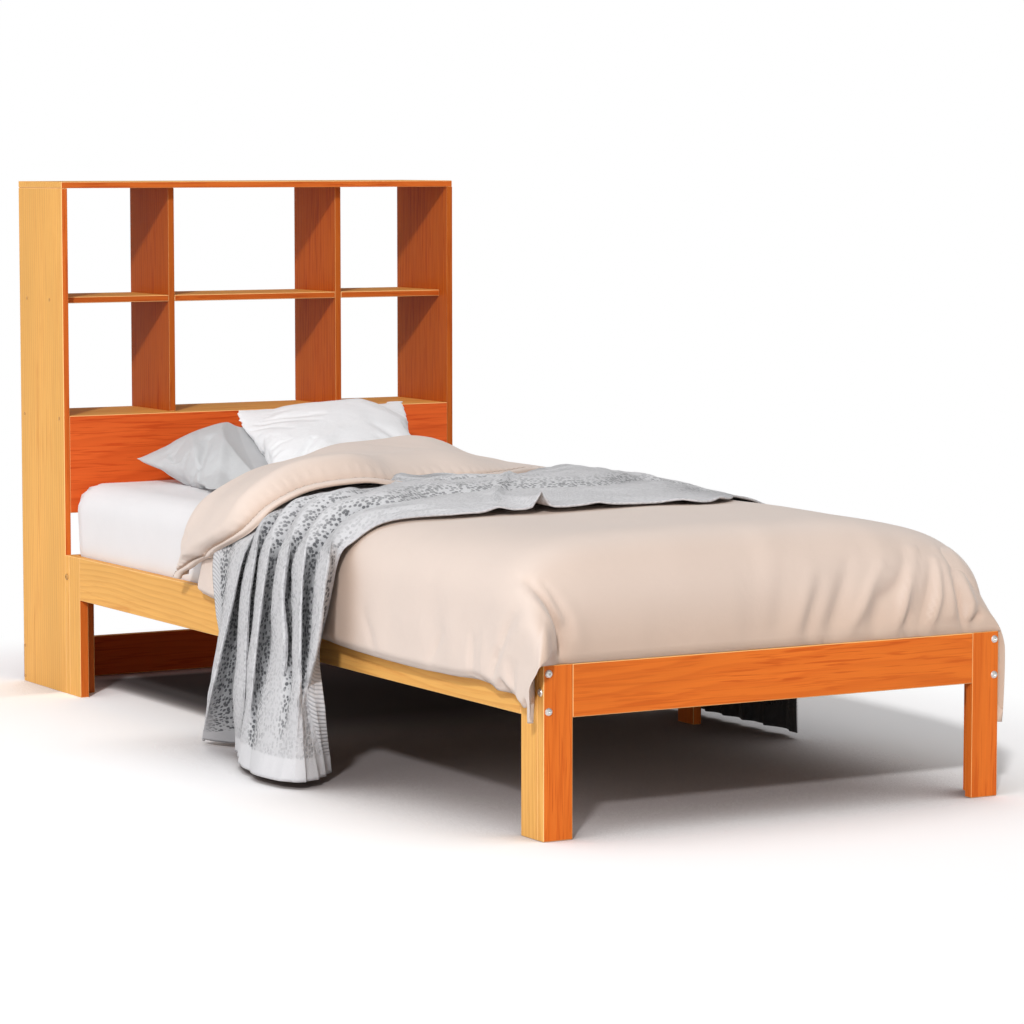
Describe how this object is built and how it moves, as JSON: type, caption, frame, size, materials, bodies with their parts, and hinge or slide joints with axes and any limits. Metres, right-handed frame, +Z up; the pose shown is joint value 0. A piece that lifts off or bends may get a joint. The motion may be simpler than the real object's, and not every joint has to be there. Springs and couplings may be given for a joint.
{
  "type": "bookcase headboard bed",
  "caption": "Single bed in waxed pine with an open bookcase headboard, low slatted frame on board legs, mattress, pillows, folded-back duvet and a knitted throw.",
  "frame": {"origin": "on the floor, under the middle of the whole object's box", "axes": "+Y from the foot end towards the bookcase headboard, +X to the right seen from the foot end, +Z up"},
  "size_m": [1.2282, 2.2986, 1.105],
  "materials": {
    "golden_pine": "waxed pine, golden, satin",
    "orange_pine": "waxed pine, orange brown, satin",
    "deep_pine": "waxed pine, deep orange brown, satin",
    "raw_pine": "planed, unfinished",
    "steel": "zinc plated",
    "mattress_cover": "white knitted ticking",
    "duvet_cotton": "pale peach cotton, soft creases",
    "throw_knit": "grey waffle knit",
    "grey_cotton": "light grey cotton",
    "white_cotton": "white cotton"
  },
  "bodies": {
    "root": {"case_side_left": "golden_pine", "case_side_right": "golden_pine", "case_top": "golden_pine", "case_bottom_shelf": "deep_pine", "headboard_panel": "deep_pine", "divider_left": "orange_pine", "divider_right": "orange_pine", "shelf_left": "orange_pine", "shelf_center": "orange_pine", "shelf_right": "orange_pine", "plinth_board": "deep_pine", "case_screws": "steel", "case_dowels": "raw_pine", "link_brackets": "steel", "bracket_screws": "steel", "side_rail_left": "golden_pine", "side_rail_right": "golden_pine", "foot_rail": "orange_pine", "head_rail": "orange_pine", "foot_leg_left_face": "orange_pine", "foot_leg_left_side": "golden_pine", "foot_leg_right_face": "orange_pine", "foot_leg_right_side": "golden_pine", "head_leg_left_face": "orange_pine", "head_leg_left_side": "golden_pine", "head_leg_right_face": "orange_pine", "head_leg_right_side": "golden_pine", "mid_leg_left": "orange_pine", "mid_leg_right": "orange_pine", "slat_ledger_left": "golden_pine", "slat_ledger_right": "golden_pine", "foot_bolts": "steel", "head_bolts": "steel", "side_bolts": "steel", "barrel_nuts": "steel", "frame_dowels": "raw_pine", "ledger_screws": "steel", "slat_screws": "steel", "slat_01": "raw_pine", "slat_02": "raw_pine", "slat_03": "raw_pine", "slat_04": "raw_pine", "slat_05": "raw_pine", "slat_06": "raw_pine", "slat_07": "raw_pine", "slat_08": "raw_pine", "slat_09": "raw_pine", "slat_10": "raw_pine", "slat_11": "raw_pine", "slat_12": "raw_pine", "slat_13": "raw_pine", "mattress": "mattress_cover", "duvet": "duvet_cotton", "throw_blanket": "throw_knit", "pillow_grey": "grey_cotton", "pillow_white": "white_cotton"}
  },
  "joints": []
}
